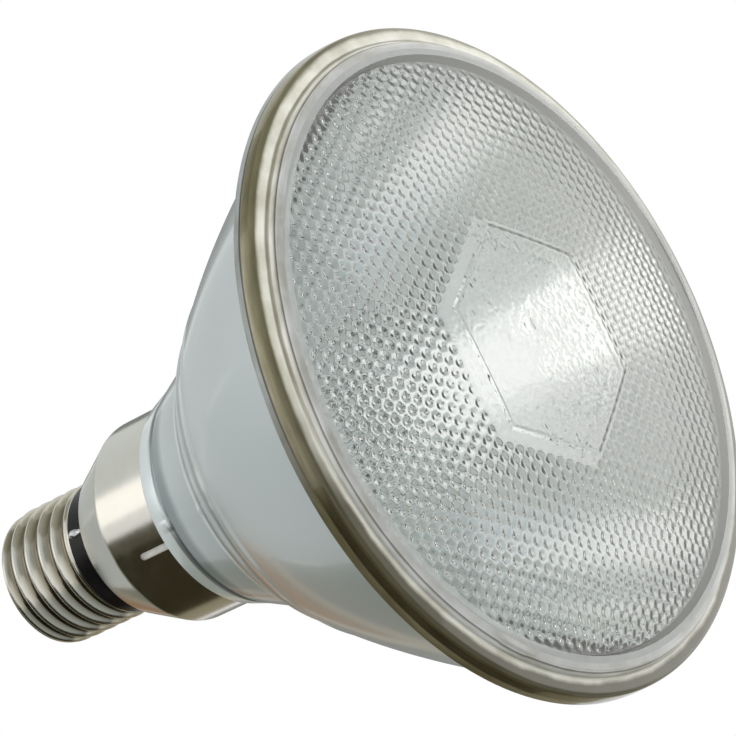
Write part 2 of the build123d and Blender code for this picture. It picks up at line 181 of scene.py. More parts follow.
def metalFinish(name, dark, light, roughLow, roughHigh, scale=900, depth=0.01):
    finish, tree, shader = newFinish(name, Metallic=1.0)
    fleck = grain(tree, scale)
    twoTone(tree, fleck, dark, light, shader.inputs["Base Color"])
    levelRange(tree, fleck, roughLow, roughHigh, shader.inputs["Roughness"])
    relief(tree, fleck, shader, 0.25, depth)
    return finish


def mattFinish(name, dark, light, roughLow, roughHigh, scale=600, depth=0.03, **values):
    finish, tree, shader = newFinish(name, **values)
    fleck = grain(tree, scale)
    twoTone(tree, fleck, dark, light, shader.inputs["Base Color"])
    levelRange(tree, fleck, roughLow, roughHigh, shader.inputs["Roughness"])
    relief(tree, fleck, shader, 0.3, depth)
    return finish


def glassFinish(name, dark, light, roughLow, roughHigh, ior, scale=300, clear=1.0):
    finish, tree, shader = newFinish(name, IOR=ior, Transmission_Weight=clear)
    fleck = grain(tree, scale)
    twoTone(tree, fleck, dark, light, shader.inputs["Base Color"])
    levelRange(tree, fleck, roughLow, roughHigh, shader.inputs["Roughness"])
    return finish


# shapes

def cornerRounds(corners, steps=5):
    # corners are (radius, height, rounding); a rounding of 0 keeps the corner sharp
    line = []
    for i, (r, z, rounding) in enumerate(corners):
        here = Vector((r, z))
        if rounding == 0 or i in (0, len(corners) - 1):
            line.append(here)
            continue
        back = Vector(corners[i - 1][:2]) - here
        ahead = Vector(corners[i + 1][:2]) - here
        reach = min(rounding, 0.48 * back.length, 0.48 * ahead.length)  # neighbours never meet
        start = here + back.normalized() * reach
        end = here + ahead.normalized() * reach
        for k in range(steps + 1):
            t = k / steps
            line.append(start * (1 - t) ** 2 + here * 2 * t * (1 - t) + end * t ** 2)
    return [(p.x, p.y) for p in line]


def evenTurns(segments):
    return [2 * pi * k / segments for k in range(segments)]


def turned(line, turns, closed=False, finishOf=None, shapeAt=None):
    # a lathe: the line of (radius, height) in mm goes once round the lamp's axis
    shape = bmesh.new()
    segments = len(turns)
    rings = []
    for r, z in line:
        if r < 1e-6:
            rings.append([shape.verts.new((0, 0, z * mm))])
            continue
        ring = []
        for turn in turns:
            out = r + (shapeAt(turn, r, z) if shapeAt else 0)
            ring.append(shape.verts.new((out * mm * cos(turn), out * mm * sin(turn), z * mm)))
        rings.append(ring)
    pairs = list(zip(range(len(rings)), range(1, len(rings))))
    if closed:
        pairs.append((len(rings) - 1, 0))
    for a, b in pairs:
        low, high = rings[a], rings[b]
        for k in range(segments):
            n = (k + 1) % segments
            if len(low) == 1:
                corners = [low[0], high[n], high[k]]
            elif len(high) == 1:
                corners = [low[k], low[n], high[0]]
            else:
                corners = [low[k], low[n], high[n], high[k]]
            face = shape.faces.new(corners)
            if finishOf:
                face.material_index = finishOf(a)
    return shape


def toMesh(name, shape, sharp=35):
    bmesh.ops.recalc_face_normals(shape, faces=shape.faces)
    mesh = bpy.data.meshes.new(name)
    shape.to_mesh(mesh)
    shape.free()
    mesh.shade_smooth()
    mesh.set_sharp_from_angle(angle=radians(sharp))
    return mesh


def addPiece(name, mesh, finishes, node=None):
    piece = bpy.data.objects.new(name, mesh)
    scene.collection.objects.link(piece)
    for finish in finishes:
        mesh.materials.append(finish)
    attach(piece, "root")
    if node:
        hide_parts(node)
    return piece


def cutAway(piece, cutters):
    for cutter in cutters:
        cut = piece.modifiers.new("cut", "BOOLEAN")
        cut.object = cutter
        cut.operation = "DIFFERENCE"
        cut.solver = "EXACT"
    graph = bpy.context.evaluated_depsgraph_get()
    cleared = bpy.data.meshes.new_from_object(piece.evaluated_get(graph))
    piece.modifiers.clear()
    old = piece.data
    piece.data = cleared
    bpy.data.meshes.remove(old)
    for cutter in cutters:
        tool = cutter.data
        bpy.data.objects.remove(cutter)
        bpy.data.meshes.remove(tool)


def rod(name, radius, low, high, x, y):
    shape = bmesh.new()
    place = Matrix.Translation((x * mm, y * mm, (low + high) / 2 * mm))
    bmesh.ops.create_cone(shape, cap_ends=True, segments=24, radius1=radius * mm, radius2=radius * mm,
                          depth=(high - low) * mm, matrix=place)
    mesh = bpy.data.meshes.new(name)
    shape.to_mesh(mesh)
    shape.free()
    piece = bpy.data.objects.new(name, mesh)
    scene.collection.objects.link(piece)
    return piece


# bowl of coated glass with its mirror inside

bowl = dict(neckRadius=17.9, neckFoot=40.5, heelFoot=42.8, heelTop=46.8, heelRecess=14.9, heelRound=0.3,
            cavity=13.5, lipFoot=51.0, lipRound=0.2,
            lip=[(20.6, 51.0, 0.55), (21.9, 55.0, 0.7), (21.55, 55.7, 0.4), (22.4, 56.5, 0.9),
                 (24.6, 61.6, 3.0), (26.6, 66.3, 0)],
            waistFoot=66.9, waistRadius=26.85, waistSlope=0.43, waistTop=68.2,
            focus=12.61, vertex=53.06, rings=[(68.1, 0.5), (73.5, 0.38), (78.9, 0.26)], ringFoot=3.4,
            fineTop=82.0, fineStep=0.28, plainStep=1.6, segments=208,
            flareHeight=3.4, flareLead=0.6, flareRound=0.5, easedRadius=57.4, easedFoot=115.6, easedRound=0.6,
            paintedLinesFoot=50, paintedLinesTop=90, flangeShadeFoot=114.6, flangeShadeTop=116.2,
            flange=60.2, flangeEdge=0.4, flangeRound=0.3, sealFace=117.6, mouth=52.9,
            mirrorFocus=11.58, mirrorVertex=57.2, mirrorSteps=56, mirrorEase=0.8,
            seam=1.5, seamWidth=2.4, seamProud=0.07, seamTop=82.0, seamStart=0.3, seamFade=6.0,
            seamLumps=((54.6, 2.0), (68.6, 2.2), (73.6, 1.2)), lumpLength=1.3, seamStep=0.45, seamSteps=7,
            exhaustBore=1.6, leadBore=1.5, leadCircle=9.8, leadTurns=(-25, 155), boreFoot=41.0, boreTop=48.0)


def bowlRadius(z):
    base = sqrt(4 * bowl["focus"] * (z - bowl["vertex"]))
    for centre, proud in bowl["rings"]:
        away = abs(z - centre) / (bowl["ringFoot"] / 2)
        if away < 1:
            base += proud * 0.5 * (1 + cos(pi * away))
    return base


def bowlLine():
    b = bowl
    outside = [(0, b["heelFoot"])]
    outside += cornerRounds([(b["heelRecess"], b["heelFoot"], 0),
                             (b["heelRecess"], b["neckFoot"], b["heelRound"]),
                             (b["neckRadius"], b["neckFoot"], b["heelRound"]),
                             (b["neckRadius"], b["lipFoot"], b["lipRound"])] + b["lip"])
    z = b["waistFoot"]
    flareFoot = b["sealFace"] - b["flareHeight"]
    while z < flareFoot:
        r = bowlRadius(z)
        if z < b["waistTop"]:
            r = max(r, b["waistRadius"] + (z - b["waistFoot"]) * b["waistSlope"])
        outside.append((r, z))
        z += b["fineStep"] if z < b["fineTop"] else b["plainStep"]
    lead = flareFoot - b["flareLead"]
    outside += cornerRounds([(bowlRadius(lead), lead, 0), (bowlRadius(flareFoot), flareFoot, b["flareRound"]),
                             (b["easedRadius"], b["easedFoot"], b["easedRound"]),
                             (b["flange"], b["sealFace"] - b["flangeEdge"], b["flangeRound"]),
                             (b["flange"], b["sealFace"], 0), (b["mouth"], b["sealFace"], 0)])[1:]
    mirrorFoot = b["mirrorVertex"] + b["cavity"] ** 2 / (4 * b["mirrorFocus"])
    inside = []
    for k in range(1, b["mirrorSteps"] + 1):
        z = b["sealFace"] + (mirrorFoot - b["sealFace"]) * (k / b["mirrorSteps"]) ** b["mirrorEase"]
        inside.append((sqrt(4 * b["mirrorFocus"] * (z - b["mirrorVertex"])), z))
    inside += [(b["cavity"], b["heelTop"]), (0, b["heelTop"])]
    return outside, inside


def seamAt(turn, r, z):
    # the mould's parting line up the neck, with a lump where it crosses the lip and the rings
    b = bowl
    away = (turn - radians(b["seam"]) + pi) % (2 * pi) - pi
    across = abs(away) * r / (b["seamWidth"] / 2)
    if across >= 1 or not b["lipFoot"] + b["seamStart"] < z < b["seamTop"] or r < b["neckRadius"] + 1:
        return 0
    lump = 1.0
    for spot, high in b["seamLumps"]:
        lump += high * max(0.0, 1 - abs(z - spot) / b["lumpLength"])
    wobble = 0.7 + 0.6 * sin(z * 3.7) * sin(z * 1.3 + 0.8)  # uneven up its length
    ending = min(1.0, (b["seamTop"] - z) / b["seamFade"])
    return b["seamProud"] * lump * wobble * ending * (1 - across * across)


def coatFinish():
    finish, tree, shader = newFinish("bowl_coat", Metallic=0.8, Coat_Weight=0.8, Coat_Roughness=0.1, IOR=1.5)
    mottle = grain(tree, 40, 5)
    coat = twoTone(tree, mottle, (0.70, 0.752, 0.757), (0.73, 0.782, 0.787))
    # painted highlights and shade: a painted pale lip, a dark band over it, then a painted highlight line and
    # a painted shade line at each ring
    paintedRingLight = toneRamp(tree, axisSpan(tree, bowl["paintedLinesFoot"], bowl["paintedLinesTop"], 0.02), [
        (0.02, (1.3, 1.3, 1.3)), (0.125, (1.3, 1.3, 1.3)), (0.145, (0.42, 0.45, 0.46)),
        (0.23, (0.5, 0.53, 0.54)), (0.28, (1, 1, 1)), (0.43, (0.9, 0.91, 0.92)),
        (0.458, (1.38, 1.38, 1.38)), (0.48, (1.2, 1.2, 1.2)), (0.508, (0.24, 0.26, 0.27)),
        (0.555, (1.2, 1.2, 1.2)), (0.6, (1.1, 1.1, 1.1)), (0.638, (0.46, 0.49, 0.5)),
        (0.69, (1.3, 1.3, 1.3)), (0.75, (0.92, 0.93, 0.93)), (0.86, (1, 1, 1))])
    ringLitCoat = multiplied(tree, coat, paintedRingLight)
    # painted dark reflection: the coat's flange foot is painted dark brown on the +Y side, where the glass
    # shows dark surroundings
    flangeDarkReflection = toneRamp(tree, axisSpan(tree, bowl["flangeShadeFoot"], bowl["flangeShadeTop"]),
                           [(0.0, (1, 1, 1)), (1.0, (0.17, 0.155, 0.10))])
    flangeDarkened = multiplied(tree, ringLitCoat, flangeDarkReflection)
    tree.links.new(blended(tree, darkReflectionShare(tree), ringLitCoat, flangeDarkened), shader.inputs["Base Color"])
    levelRange(tree, mottle, 0.28, 0.34, shader.inputs["Roughness"])
    return finish


mirrorFinish = metalFinish("bowl_mirror", (0.83, 0.84, 0.84), (0.89, 0.89, 0.88), 0.02, 0.05, 500, 0.002)

# where the lens is fused on: darker glass at the outside, pale toward the mouth
sealFinish, tree, shader = newFinish("fused_seal", Roughness=0.5)
toneRamp(tree, radiusSpan(tree, bowl["mouth"], bowl["flange"]),
         [(0.0, (0.62, 0.63, 0.60)), (0.55, (0.55, 0.55, 0.49)),
          (0.8, (0.16, 0.15, 0.10)), (1.0, (0.10, 0.095, 0.06))],
         shader.inputs["Base Color"])

outside, inside = bowlLine()
sealRing = len(outside) - 2
seamTurns = [radians(bowl["seam"] + k * bowl["seamStep"]) % (2 * pi)
             for k in range(-bowl["seamSteps"], bowl["seamSteps"] + 1)]
turns = sorted(evenTurns(bowl["segments"]) + seamTurns)
bowlShape = turned(outside + inside, turns, shapeAt=seamAt,
                   finishOf=lambda ring: 0 if ring < sealRing else 2 if ring == sealRing else 1)
bowlPiece = addPiece("bowl", toMesh("bowl", bowlShape, 38), [coatFinish(), mirrorFinish, sealFinish],
                     "reflector")
bores = [rod("exhaustBore", bowl["exhaustBore"], bowl["boreFoot"], bowl["boreTop"], 0, 0)]
for a in bowl["leadTurns"]:
    x, y = bowl["leadCircle"] * cos(radians(a)), bowl["leadCircle"] * sin(radians(a))
    bores.append(rod("leadBore", bowl["leadBore"], bowl["boreFoot"], bowl["boreTop"], x, y))
cutAway(bowlPiece, bores)
print("bowl", len(bowlPiece.data.polygons))


# lens: pressed glass dome, six-sided panel outside, bumps inside

lens = dict(radius=60.5, foot=117.6, sink=0.03, footBand=1.2,
            edgeTop=121.3, landInset=0.2, landRise=0.1, landRound=0.8,
            stepFoot=(57.5, 121.75), stepTop=(57.0, 122.6), stepRound=0.4, chamfer=(56.5, 123.35),
            chamferRound=0.3, footRound=0.2,
            domeEdge=55.3, domeFoot=123.6, apex=129.9, domeRadius=245.9, thickness=4.0,
            mouth=52.9, ringFrom=54.1, segments=288,
            pitch=2.43, bumpField=52.8, bumpHeight=0.38, bumpEdge=0.7, panelGap=0.8,
            panel=22.5, border=1.5, borderProud=0.18, borderEdge=0.75, borderLines=5, borderStep=0.17,
            topStep=1.3, topGap=0.7, underGap=0.3,
            stipple=0.13, stippleStep=0.29, stippleInset=0.1, stippleCells=((0.7, 0.55), (0.48, 0.45)),
            mark=(3.1, -3.1), markSoft=2.0, markProud=0.25, markRings=8, markTurns=24,
            uneven=0.012, unevenWaves=((17, 0.6, 1.0), (41, 2.1, 0.7), (97, 0.0, 0.5)),
            lug=49, lugLength=7.5, lugProud=0.3, lugFoot=122.2, lugEnd=1.2)
lensParts = dict(rim=1, mouth=2, ring=3)  # places in the lens's finishes; 0 is the clear glass


def capHeight(r, apex, radius):
    return apex - radius + sqrt(radius ** 2 - r * r)


def easeStep(t):
    t = min(1.0, max(0.0, t))
    return t * t * (3 - 2 * t)


def wild(a, b):
    # a repeatable number from 0 to 1 for a grid spot
    n = sin(a * 12.9898 + b * 78.233) * 43758.5453
    return n - floor(n)


def panelDistance(x, y):
    # distance outside the six-sided panel's edge, negative inside; corners lie on the Y axis
    flat = lens["panel"] * cos(radians(30))
    return max(abs(x * cos(radians(a)) + y * sin(radians(a))) for a in (0, 60, 120)) - flat


def bumpAt(x, y):
    # three crossed waves make soft cushions on a triangular lattice
    turn = 4 * pi / (sqrt(3) * lens["pitch"])
    waves = sum(cos(turn * (x * cos(radians(a)) + y * sin(radians(a)))) for a in (0, 60, 120))
    inField = easeStep((lens["bumpField"] - hypot(x, y)) / lens["bumpEdge"])
    inField *= easeStep((panelDistance(x, y) - lens["panelGap"]) / lens["bumpEdge"])
    lowest, highest = -1.5, 3  # of the three waves together
    return lens["bumpHeight"] / (highest - lowest) * (waves - lowest) * inField


def stippleAt(x, y):
    # fine uneven pressing inside the panel
    high = 0.0
    for size, weight in lens["stippleCells"]:
        i, j = floor(x / size), floor(y / size)
        fx, fy = easeStep(x / size - i), easeStep(y / size - j)
        high += weight * ((wild(i, j) * (1 - fx) + wild(i + 1, j) * fx) * (1 - fy)
                          + (wild(i, j + 1) * (1 - fx) + wild(i + 1, j + 1) * fx) * fy)
    return lens["stipple"] * high


def lensTop(x, y):
    out = panelDistance(x, y)
    edge = lens["borderEdge"]
    rise = lens["borderProud"] * easeStep(-out / edge) * easeStep((out + lens["border"]) / edge)
    away = hypot(x - lens["mark"][0], y - lens["mark"][1]) / lens["markSoft"]
    rise += lens["markProud"] * max(0.0, 1 - away * away) ** 2
    return capHeight(hypot(x, y), lens["apex"], lens["domeRadius"]) + rise


def lensUnder(x, y):
    out = panelDistance(x, y)
    sunk = stippleAt(x, y) * easeStep(-out / lens["border"]) if out < 0 else bumpAt(x, y)
    apex, radius = lens["apex"] - lens["thickness"], lens["domeRadius"] - lens["thickness"]
    return capHeight(hypot(x, y), apex, radius) - sunk


def triangleSpots(step, reach, keep):
    spots = []
    row = step * sqrt(3) / 2
    count = int(reach / row) + 1
    across = int(reach / step) + 1
    for j in range(-count, count + 1):
        for i in range(-across - 1, across + 1):
            x, y = (i + 0.5 * (j % 2)) * step, j * row
            if hypot(x, y) < reach and keep(x, y):
                spots.append((x, y))
    return spots


def panelSpots(inset, step):
    # points along a six-sided line inside the panel's edge
    corner = lens["panel"] - inset / cos(radians(30))
    corners = [Vector((corner * sin(radians(60 * k)), corner * cos(radians(60 * k)))) for k in range(6)]
    spots = []
    for a, b in zip(corners, corners[1:] + corners[:1]):
        count = int((b - a).length / step)
        spots += [tuple(a + (b - a) * (m / count)) for m in range(count)]
    return spots


def sheetOver(shape, spots, edgeRadius, edgeHeight, heightAt):
    # lays a sheet over the spots and gives back the points of its round edge
    first = len(spots)
    n = lens["segments"]
    edge = [(edgeRadius * cos(turn), edgeRadius * sin(turn)) for turn in evenTurns(n)]
    rim = [(first + k, first + (k + 1) % n) for k in range(n)]
    laidOut = [Vector(p) for p in spots + edge]
    flatPoints, _, faces, origins, _, _ = delaunay_2d_cdt(laidOut, rim, [], 1, 1e-6)
    slack = 0.05
    points = []
    rimOf = {}
    for p, sources in zip(flatPoints, origins):
        onEdge = [o - first for o in sources if o >= first]
        z = edgeHeight if onEdge else heightAt(p.x, p.y)
        points.append(shape.verts.new((p.x * mm, p.y * mm, z * mm)))
        for o in onEdge:
            rimOf[o] = points[-1]
    for face in faces:
        corners = [points[i] for i in face]
        laid = shape.faces.new(corners)
        if min(hypot(v.co.x, v.co.y) for v in corners) > (lens["ringFrom"] - slack) * mm:
            laid.material_index = lensParts["ring"]
    return [rimOf[k] for k in range(n)]


def rimRise(turn, r, z):
    # the pressed step is a little uneven and has one low lug
    if z < lens["edgeTop"]:
        return 0
    waves = sum(size * sin(count * turn + shift) for count, shift, size in lens["unevenWaves"])
    rise = lens["uneven"] * waves
    if z > lens["lugFoot"]:
        away = abs((turn - radians(lens["lug"]) + pi) % (2 * pi) - pi) * r
        rise += lens["lugProud"] * easeStep((lens["lugLength"] / 2 - away) / lens["lugEnd"])
    return rise


def topSpots():
    # points of the dome's outside: even rows, close lines along the border, rings round the mark
    clear = 0.3
    markX, markY = lens["mark"]

    def plain(x, y):
        onBorder = -lens["border"] - clear < panelDistance(x, y) < clear
        return not onBorder and hypot(x - markX, y - markY) > lens["markSoft"] + clear

    spots = triangleSpots(lens["topStep"], lens["ringFrom"] - lens["topGap"], plain)
    for k in range(-1, lens["borderLines"] + 1):
        inset = lens["borderEdge"] * k / lens["borderLines"]
        spots += panelSpots(inset, lens["borderStep"])
        spots += panelSpots(lens["border"] - inset, lens["borderStep"])
    for k in range(1, lens["markRings"] + 1):
        r = lens["markSoft"] * k / lens["markRings"]
        spots += [(markX + r * cos(turn), markY + r * sin(turn)) for turn in evenTurns(lens["markTurns"])]
    ringFrom = lens["ringFrom"]
    return spots + [(ringFrom * cos(turn), ringFrom * sin(turn)) for turn in evenTurns(lens["segments"])]


def underSpots():
    # points of the dome's inside: rows that fall on the bumps' tops and hollows, closer ones in the panel
    bumpStep = lens["pitch"] / (sqrt(3) * 3)
    spots = triangleSpots(bumpStep, lens["mouth"] - lens["underGap"], lambda x, y: panelDistance(x, y) > 0)
    return spots + triangleSpots(lens["stippleStep"], lens["panel"],
                                 lambda x, y: panelDistance(x, y) < -lens["stippleInset"])


def lensMesh():
    shape = bmesh.new()
    n = lens["segments"]
    last = sheetOver(shape, topSpots(), lens["domeEdge"], lens["domeFoot"], lensTop)
    foot = lens["foot"] - lens["sink"]
    line = cornerRounds([(lens["domeEdge"], lens["domeFoot"], 0), (*lens["chamfer"], lens["chamferRound"]),
                         (*lens["stepTop"], lens["stepRound"]), (*lens["stepFoot"], lens["stepRound"]),
                         (lens["radius"] - lens["landInset"], lens["edgeTop"] + lens["landRise"],
                          lens["landRound"]),
                         (lens["radius"], lens["foot"] + lens["footBand"], lens["footRound"]),
                         (lens["radius"], foot, 0), (lens["mouth"], foot, 0)])
    for r, z in line[1:]:
        ring = []
        for turn in evenTurns(n):
            high = z + rimRise(turn, r, z)
            ring.append(shape.verts.new((r * mm * cos(turn), r * mm * sin(turn), high * mm)))
        for k in range(n):
            m = (k + 1) % n
            face = shape.faces.new([last[k], last[m], ring[m], ring[k]])
            face.material_index = lensParts["rim"] if r > lens["mouth"] else lensParts["mouth"]
        last = ring
    under = sheetOver(shape, underSpots(), lens["mouth"], lensUnder(lens["mouth"], 0), lensUnder)
    for k in range(n):
        m = (k + 1) % n
        shape.faces.new([last[k], last[m], under[m], under[k]]).material_index = lensParts["mouth"]
    return toMesh("lens", shape, 36)


def rimFinish():
    # painted light and shade in bands of tone by height: foot, seam, wall, land, step and chamfer, with
    # painted highlights and painted dark shade lines among them, and a darker, browner set painted on one
    # side as its dark reflection
    finish, tree, shader = newFinish("lens_rim", Roughness=0.25, Specular_IOR_Level=0.3, Coat_Weight=0.6,
                                     Coat_Roughness=0.04)
    rimHeight = axisSpan(tree, lens["foot"], lens["domeFoot"], 0.02)
    litSideBands = toneRamp(tree, rimHeight, [
        (0.17, (0.37, 0.405, 0.40)), (0.195, (0.05, 0.05, 0.04)), (0.225, (0.06, 0.06, 0.045)),
        (0.26, (0.35, 0.335, 0.24)), (0.48, (0.22, 0.205, 0.115)), (0.655, (0.15, 0.135, 0.065)),
        (0.67, (0.80, 0.79, 0.66)), (0.695, (0.95, 0.94, 0.85)), (0.712, (0.33, 0.32, 0.24)),
        (0.76, (0.42, 0.41, 0.33)), (0.80, (0.92, 0.91, 0.85)), (0.86, (0.80, 0.79, 0.73)),
        (0.915, (0.10, 0.10, 0.08)), (0.945, (0.74, 0.75, 0.73)), (0.99, (0.50, 0.51, 0.50))])
    darkSideBands = toneRamp(tree, rimHeight, [
        (0.0, (0.13, 0.12, 0.06)), (0.2, (0.17, 0.155, 0.085)), (0.45, (0.20, 0.175, 0.10)),
        (0.56, (0.08, 0.07, 0.03)), (0.682, (0.075, 0.066, 0.028)), (0.70, (0.85, 0.84, 0.74)),
        (0.735, (0.75, 0.74, 0.66)), (0.765, (0.40, 0.41, 0.38)), (0.86, (0.66, 0.67, 0.65)),
        (0.915, (0.16, 0.16, 0.14)), (0.945, (0.66, 0.67, 0.65)), (0.99, (0.48, 0.49, 0.48))])
    paintedRimLight = blended(tree, darkReflectionShare(tree), litSideBands, darkSideBands)
    streaks = toneRamp(tree, grain(tree, 130, 5, stretch=(1, 1, 5)),
                       [(0.34, (0.74, 0.72, 0.66)), (0.62, (1.06, 1.06, 1.06))])
    multiplied(tree, paintedRimLight, streaks, shader.inputs["Base Color"])
    shine = (0.8, 0.8, 0.8)
    toneRamp(tree, rimHeight, [(0.22, (0, 0, 0)), (0.27, shine), (0.48, shine), (0.56, (0, 0, 0))],
             shader.inputs["Metallic"])
    return finish


lensFinish = glassFinish("lens_glass", (0.97, 0.985, 0.975), (0.99, 1.0, 0.99), 0.01, 0.04, 1.48)
ringFinish = glassFinish("lens_ring", (0.56, 0.59, 0.57), (0.64, 0.67, 0.65), 0.05, 0.1, 1.48, clear=0.4)
mouthFinish = mattFinish("lens_mouth", (0.52, 0.53, 0.52), (0.62, 0.63, 0.61), 0.35, 0.5, 300)
lensPiece = addPiece("lens_cover", lensMesh(), [lensFinish, rimFinish(), mouthFinish, ringFinish],
                     "lens")
print("lens", len(lensPiece.data.polygons))


# nickel skirt, pressed from sheet

skirt = dict(foot=28.4, footRadius=15.0, footHole=11.0, breakHeight=37.8, radius=19.5, wall=0.4, rim=51.0,
             rimBreak=0.15, slits=(11, 131, 251), slitWidth=1.3, slitDepth=7.4, slitReach=(17.0, 21.0),
             slitOver=1.0, slitSteps=10, footRound=0.7, breakRound=0.45, innerBreak=0.1, innerBreakRound=0.3,
             innerFoot=0.25, innerFootRound=0.4, segments=192)


def slitTool(angle):
    # a round-ended bar through the skirt's wall, open at the rim
    s = skirt
    half = s["slitWidth"] / 2
    foot = s["rim"] - s["slitDepth"] + half
    top = s["rim"] + s["slitOver"]
    edge = [(half, top), (-half, top)]
    for k in range(s["slitSteps"] + 1):
        turn = pi * k / s["slitSteps"]
        edge.append((-half * cos(turn), foot - half * sin(turn)))
    shape = bmesh.new()
    near, far = [[shape.verts.new((r * mm, y * mm, z * mm)) for y, z in edge] for r in s["slitReach"]]
    shape.faces.new(near)
    shape.faces.new(list(reversed(far)))
    for k in range(len(edge)):
        m = (k + 1) % len(edge)
        shape.faces.new([near[k], near[m], far[m], far[k]])
    bmesh.ops.recalc_face_normals(shape, faces=shape.faces)
    mesh = bpy.data.meshes.new("slitTool")
    shape.to_mesh(mesh)
    shape.free()
    tool = bpy.data.objects.new("slitTool", mesh)
    tool.rotation_euler[2] = radians(angle)
    scene.collection.objects.link(tool)
    return tool


s = skirt
skirtLine = cornerRounds([(s["footHole"], s["foot"], 0), (s["footRadius"], s["foot"], s["footRound"]),
                          (s["radius"], s["breakHeight"], s["breakRound"]),
                          (s["radius"], s["rim"] - s["rimBreak"], 0),
                          (s["radius"] - s["rimBreak"], s["rim"], 0), (s["radius"] - s["wall"], s["rim"], 0),
                          (s["radius"] - s["wall"], s["breakHeight"] + s["innerBreak"], s["innerBreakRound"]),
                          (s["footRadius"] - s["innerFoot"], s["foot"] + s["wall"], s["innerFootRound"]),
                          (s["footHole"], s["foot"] + s["wall"], 0)])
nickelFinish = metalFinish("nickel", (0.655, 0.635, 0.58), (0.695, 0.675, 0.62), 0.15, 0.21, 260, 0.001)
skirtShape = turned(skirtLine, evenTurns(s["segments"]), closed=True)
skirtPiece = addPiece("skirt_cup", toMesh("skirt", skirtShape, 30), [nickelFinish], "skirt")
cutAway(skirtPiece, [slitTool(a) for a in s["slits"]])
print("skirt", len(skirtPiece.data.polygons))


# screw shell with a rolled right-hand thread

shell = dict(foot=4.8, top=23.3, radius=13.2, bore=11.65, depth=1.1, pitch=3.63, valley=2.985,
             topLand=0.3, topFade=1.4, footFade=1.6, plainDepth=0.35, levels=150, segments=144)


def shellMesh():
    s = shell
    shape = bmesh.new()
    turns = evenTurns(s["segments"])
    rings = []
    for k in range(s["levels"] + 1):
        z = s["foot"] + (s["top"] - s["foot"]) * k / s["levels"]
        fade = min(1.0, max(0.0, (s["top"] - s["topLand"] - z) / s["topFade"]))
        fade = easeStep(fade * min(1.0, max(0.0, (z - s["foot"]) / s["footFade"])))
        ring = []
        for turn in turns:
            phase = (z - s["valley"]) / s["pitch"] - turn / (2 * pi)
            wave = 0.5 * (1 - cos(2 * pi * phase))
            r = s["radius"] - s["depth"] * ((1 - wave) * fade + s["plainDepth"] * (1 - fade))
            ring.append(shape.verts.new((r * mm * cos(turn), r * mm * sin(turn), z * mm)))
        rings.append(ring)
    bore = s["bore"] * mm
    for z in (s["top"], s["foot"]):
        rings.append([shape.verts.new((bore * cos(turn), bore * sin(turn), z * mm)) for turn in turns])
    rings.append(rings[0])
    for low, high in zip(rings, rings[1:]):
        for i in range(len(turns)):
            m = (i + 1) % len(turns)
            shape.faces.new([low[i], low[m], high[m], high[i]])
    return toMesh("shell", shape, 40)


threadFinish, tree, shader = newFinish("thread_nickel", Metallic=1.0)
wear = grain(tree, 260)
metal = twoTone(tree, wear, (0.64, 0.62, 0.56), (0.70, 0.68, 0.62))
# painted shade: the thread is painted darker and browner toward its valleys, at full tone on the crests
valleyShade = toneRamp(tree, radiusSpan(tree, shell["radius"] - shell["depth"], shell["radius"]),
                   [(0.0, (0.34, 0.31, 0.25)), (0.45, (0.72, 0.70, 0.64)), (0.85, (1, 1, 1))])
multiplied(tree, metal, valleyShade, shader.inputs["Base Color"])
levelRange(tree, wear, 0.16, 0.26, shader.inputs["Roughness"])
shellPiece = addPiece("thread_shell", shellMesh(), [threadFinish], "screw_shell")
print("shell", len(shellPiece.data.polygons))


# solder run down over the band from the skirt to the shell

solder = dict(turn=-25, radius=12.65, bead=1.1, lumps=(0.62, 0.86, 1.0, 0.9, 0.66, 0.58, 0.7, 0.84, 0.72),
              tip=0.02, ripple=0.06, sides=20, steps=24)


def solderMesh():
    s = solder
    low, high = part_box("side_solder")
    foot, top = low.z / mm, high.z / mm
    place = Matrix.Rotation(radians(s["turn"]), 4, "Z")
    shape = bmesh.new()
    rings = []
    for k in range(s["steps"] + 1):
        t = k / s["steps"]
        spot = t * (len(s["lumps"]) - 1)
        i = min(int(spot), len(s["lumps"]) - 2)
        size = s["lumps"][i] + (s["lumps"][i + 1] - s["lumps"][i]) * easeStep(spot - i)
        size *= s["bead"] * sqrt(max(0.0, 1 - (2 * t - 1) ** 8)) * (1 - s["ripple"]) + s["tip"]
        ring = []
        for a in evenTurns(s["sides"]):
            r = size * (1 - s["ripple"] + s["ripple"] * sin(3 * a + 9 * t))
            spotAt = Vector((s["radius"] + r * cos(a), r * sin(a), foot + (top - foot) * t)) * mm
            ring.append(shape.verts.new(place @ spotAt))
        rings.append(ring)
    for low, high in zip(rings, rings[1:]):
        for j in range(s["sides"]):
            m = (j + 1) % s["sides"]
            shape.faces.new([low[j], low[m], high[m], high[j]])
    shape.faces.new(rings[0])
    shape.faces.new(rings[-1])
    return toMesh("solder", shape, 60)


tinFinish = metalFinish("tin", (0.50, 0.51, 0.52), (0.72, 0.73, 0.74), 0.18, 0.34, 1200, 0.05)
solderPiece = addPiece("solder_run", solderMesh(), [tinFinish], "side_solder")
print("solder", len(solderPiece.data.polygons))


# finishes on the solids that are shown as they are

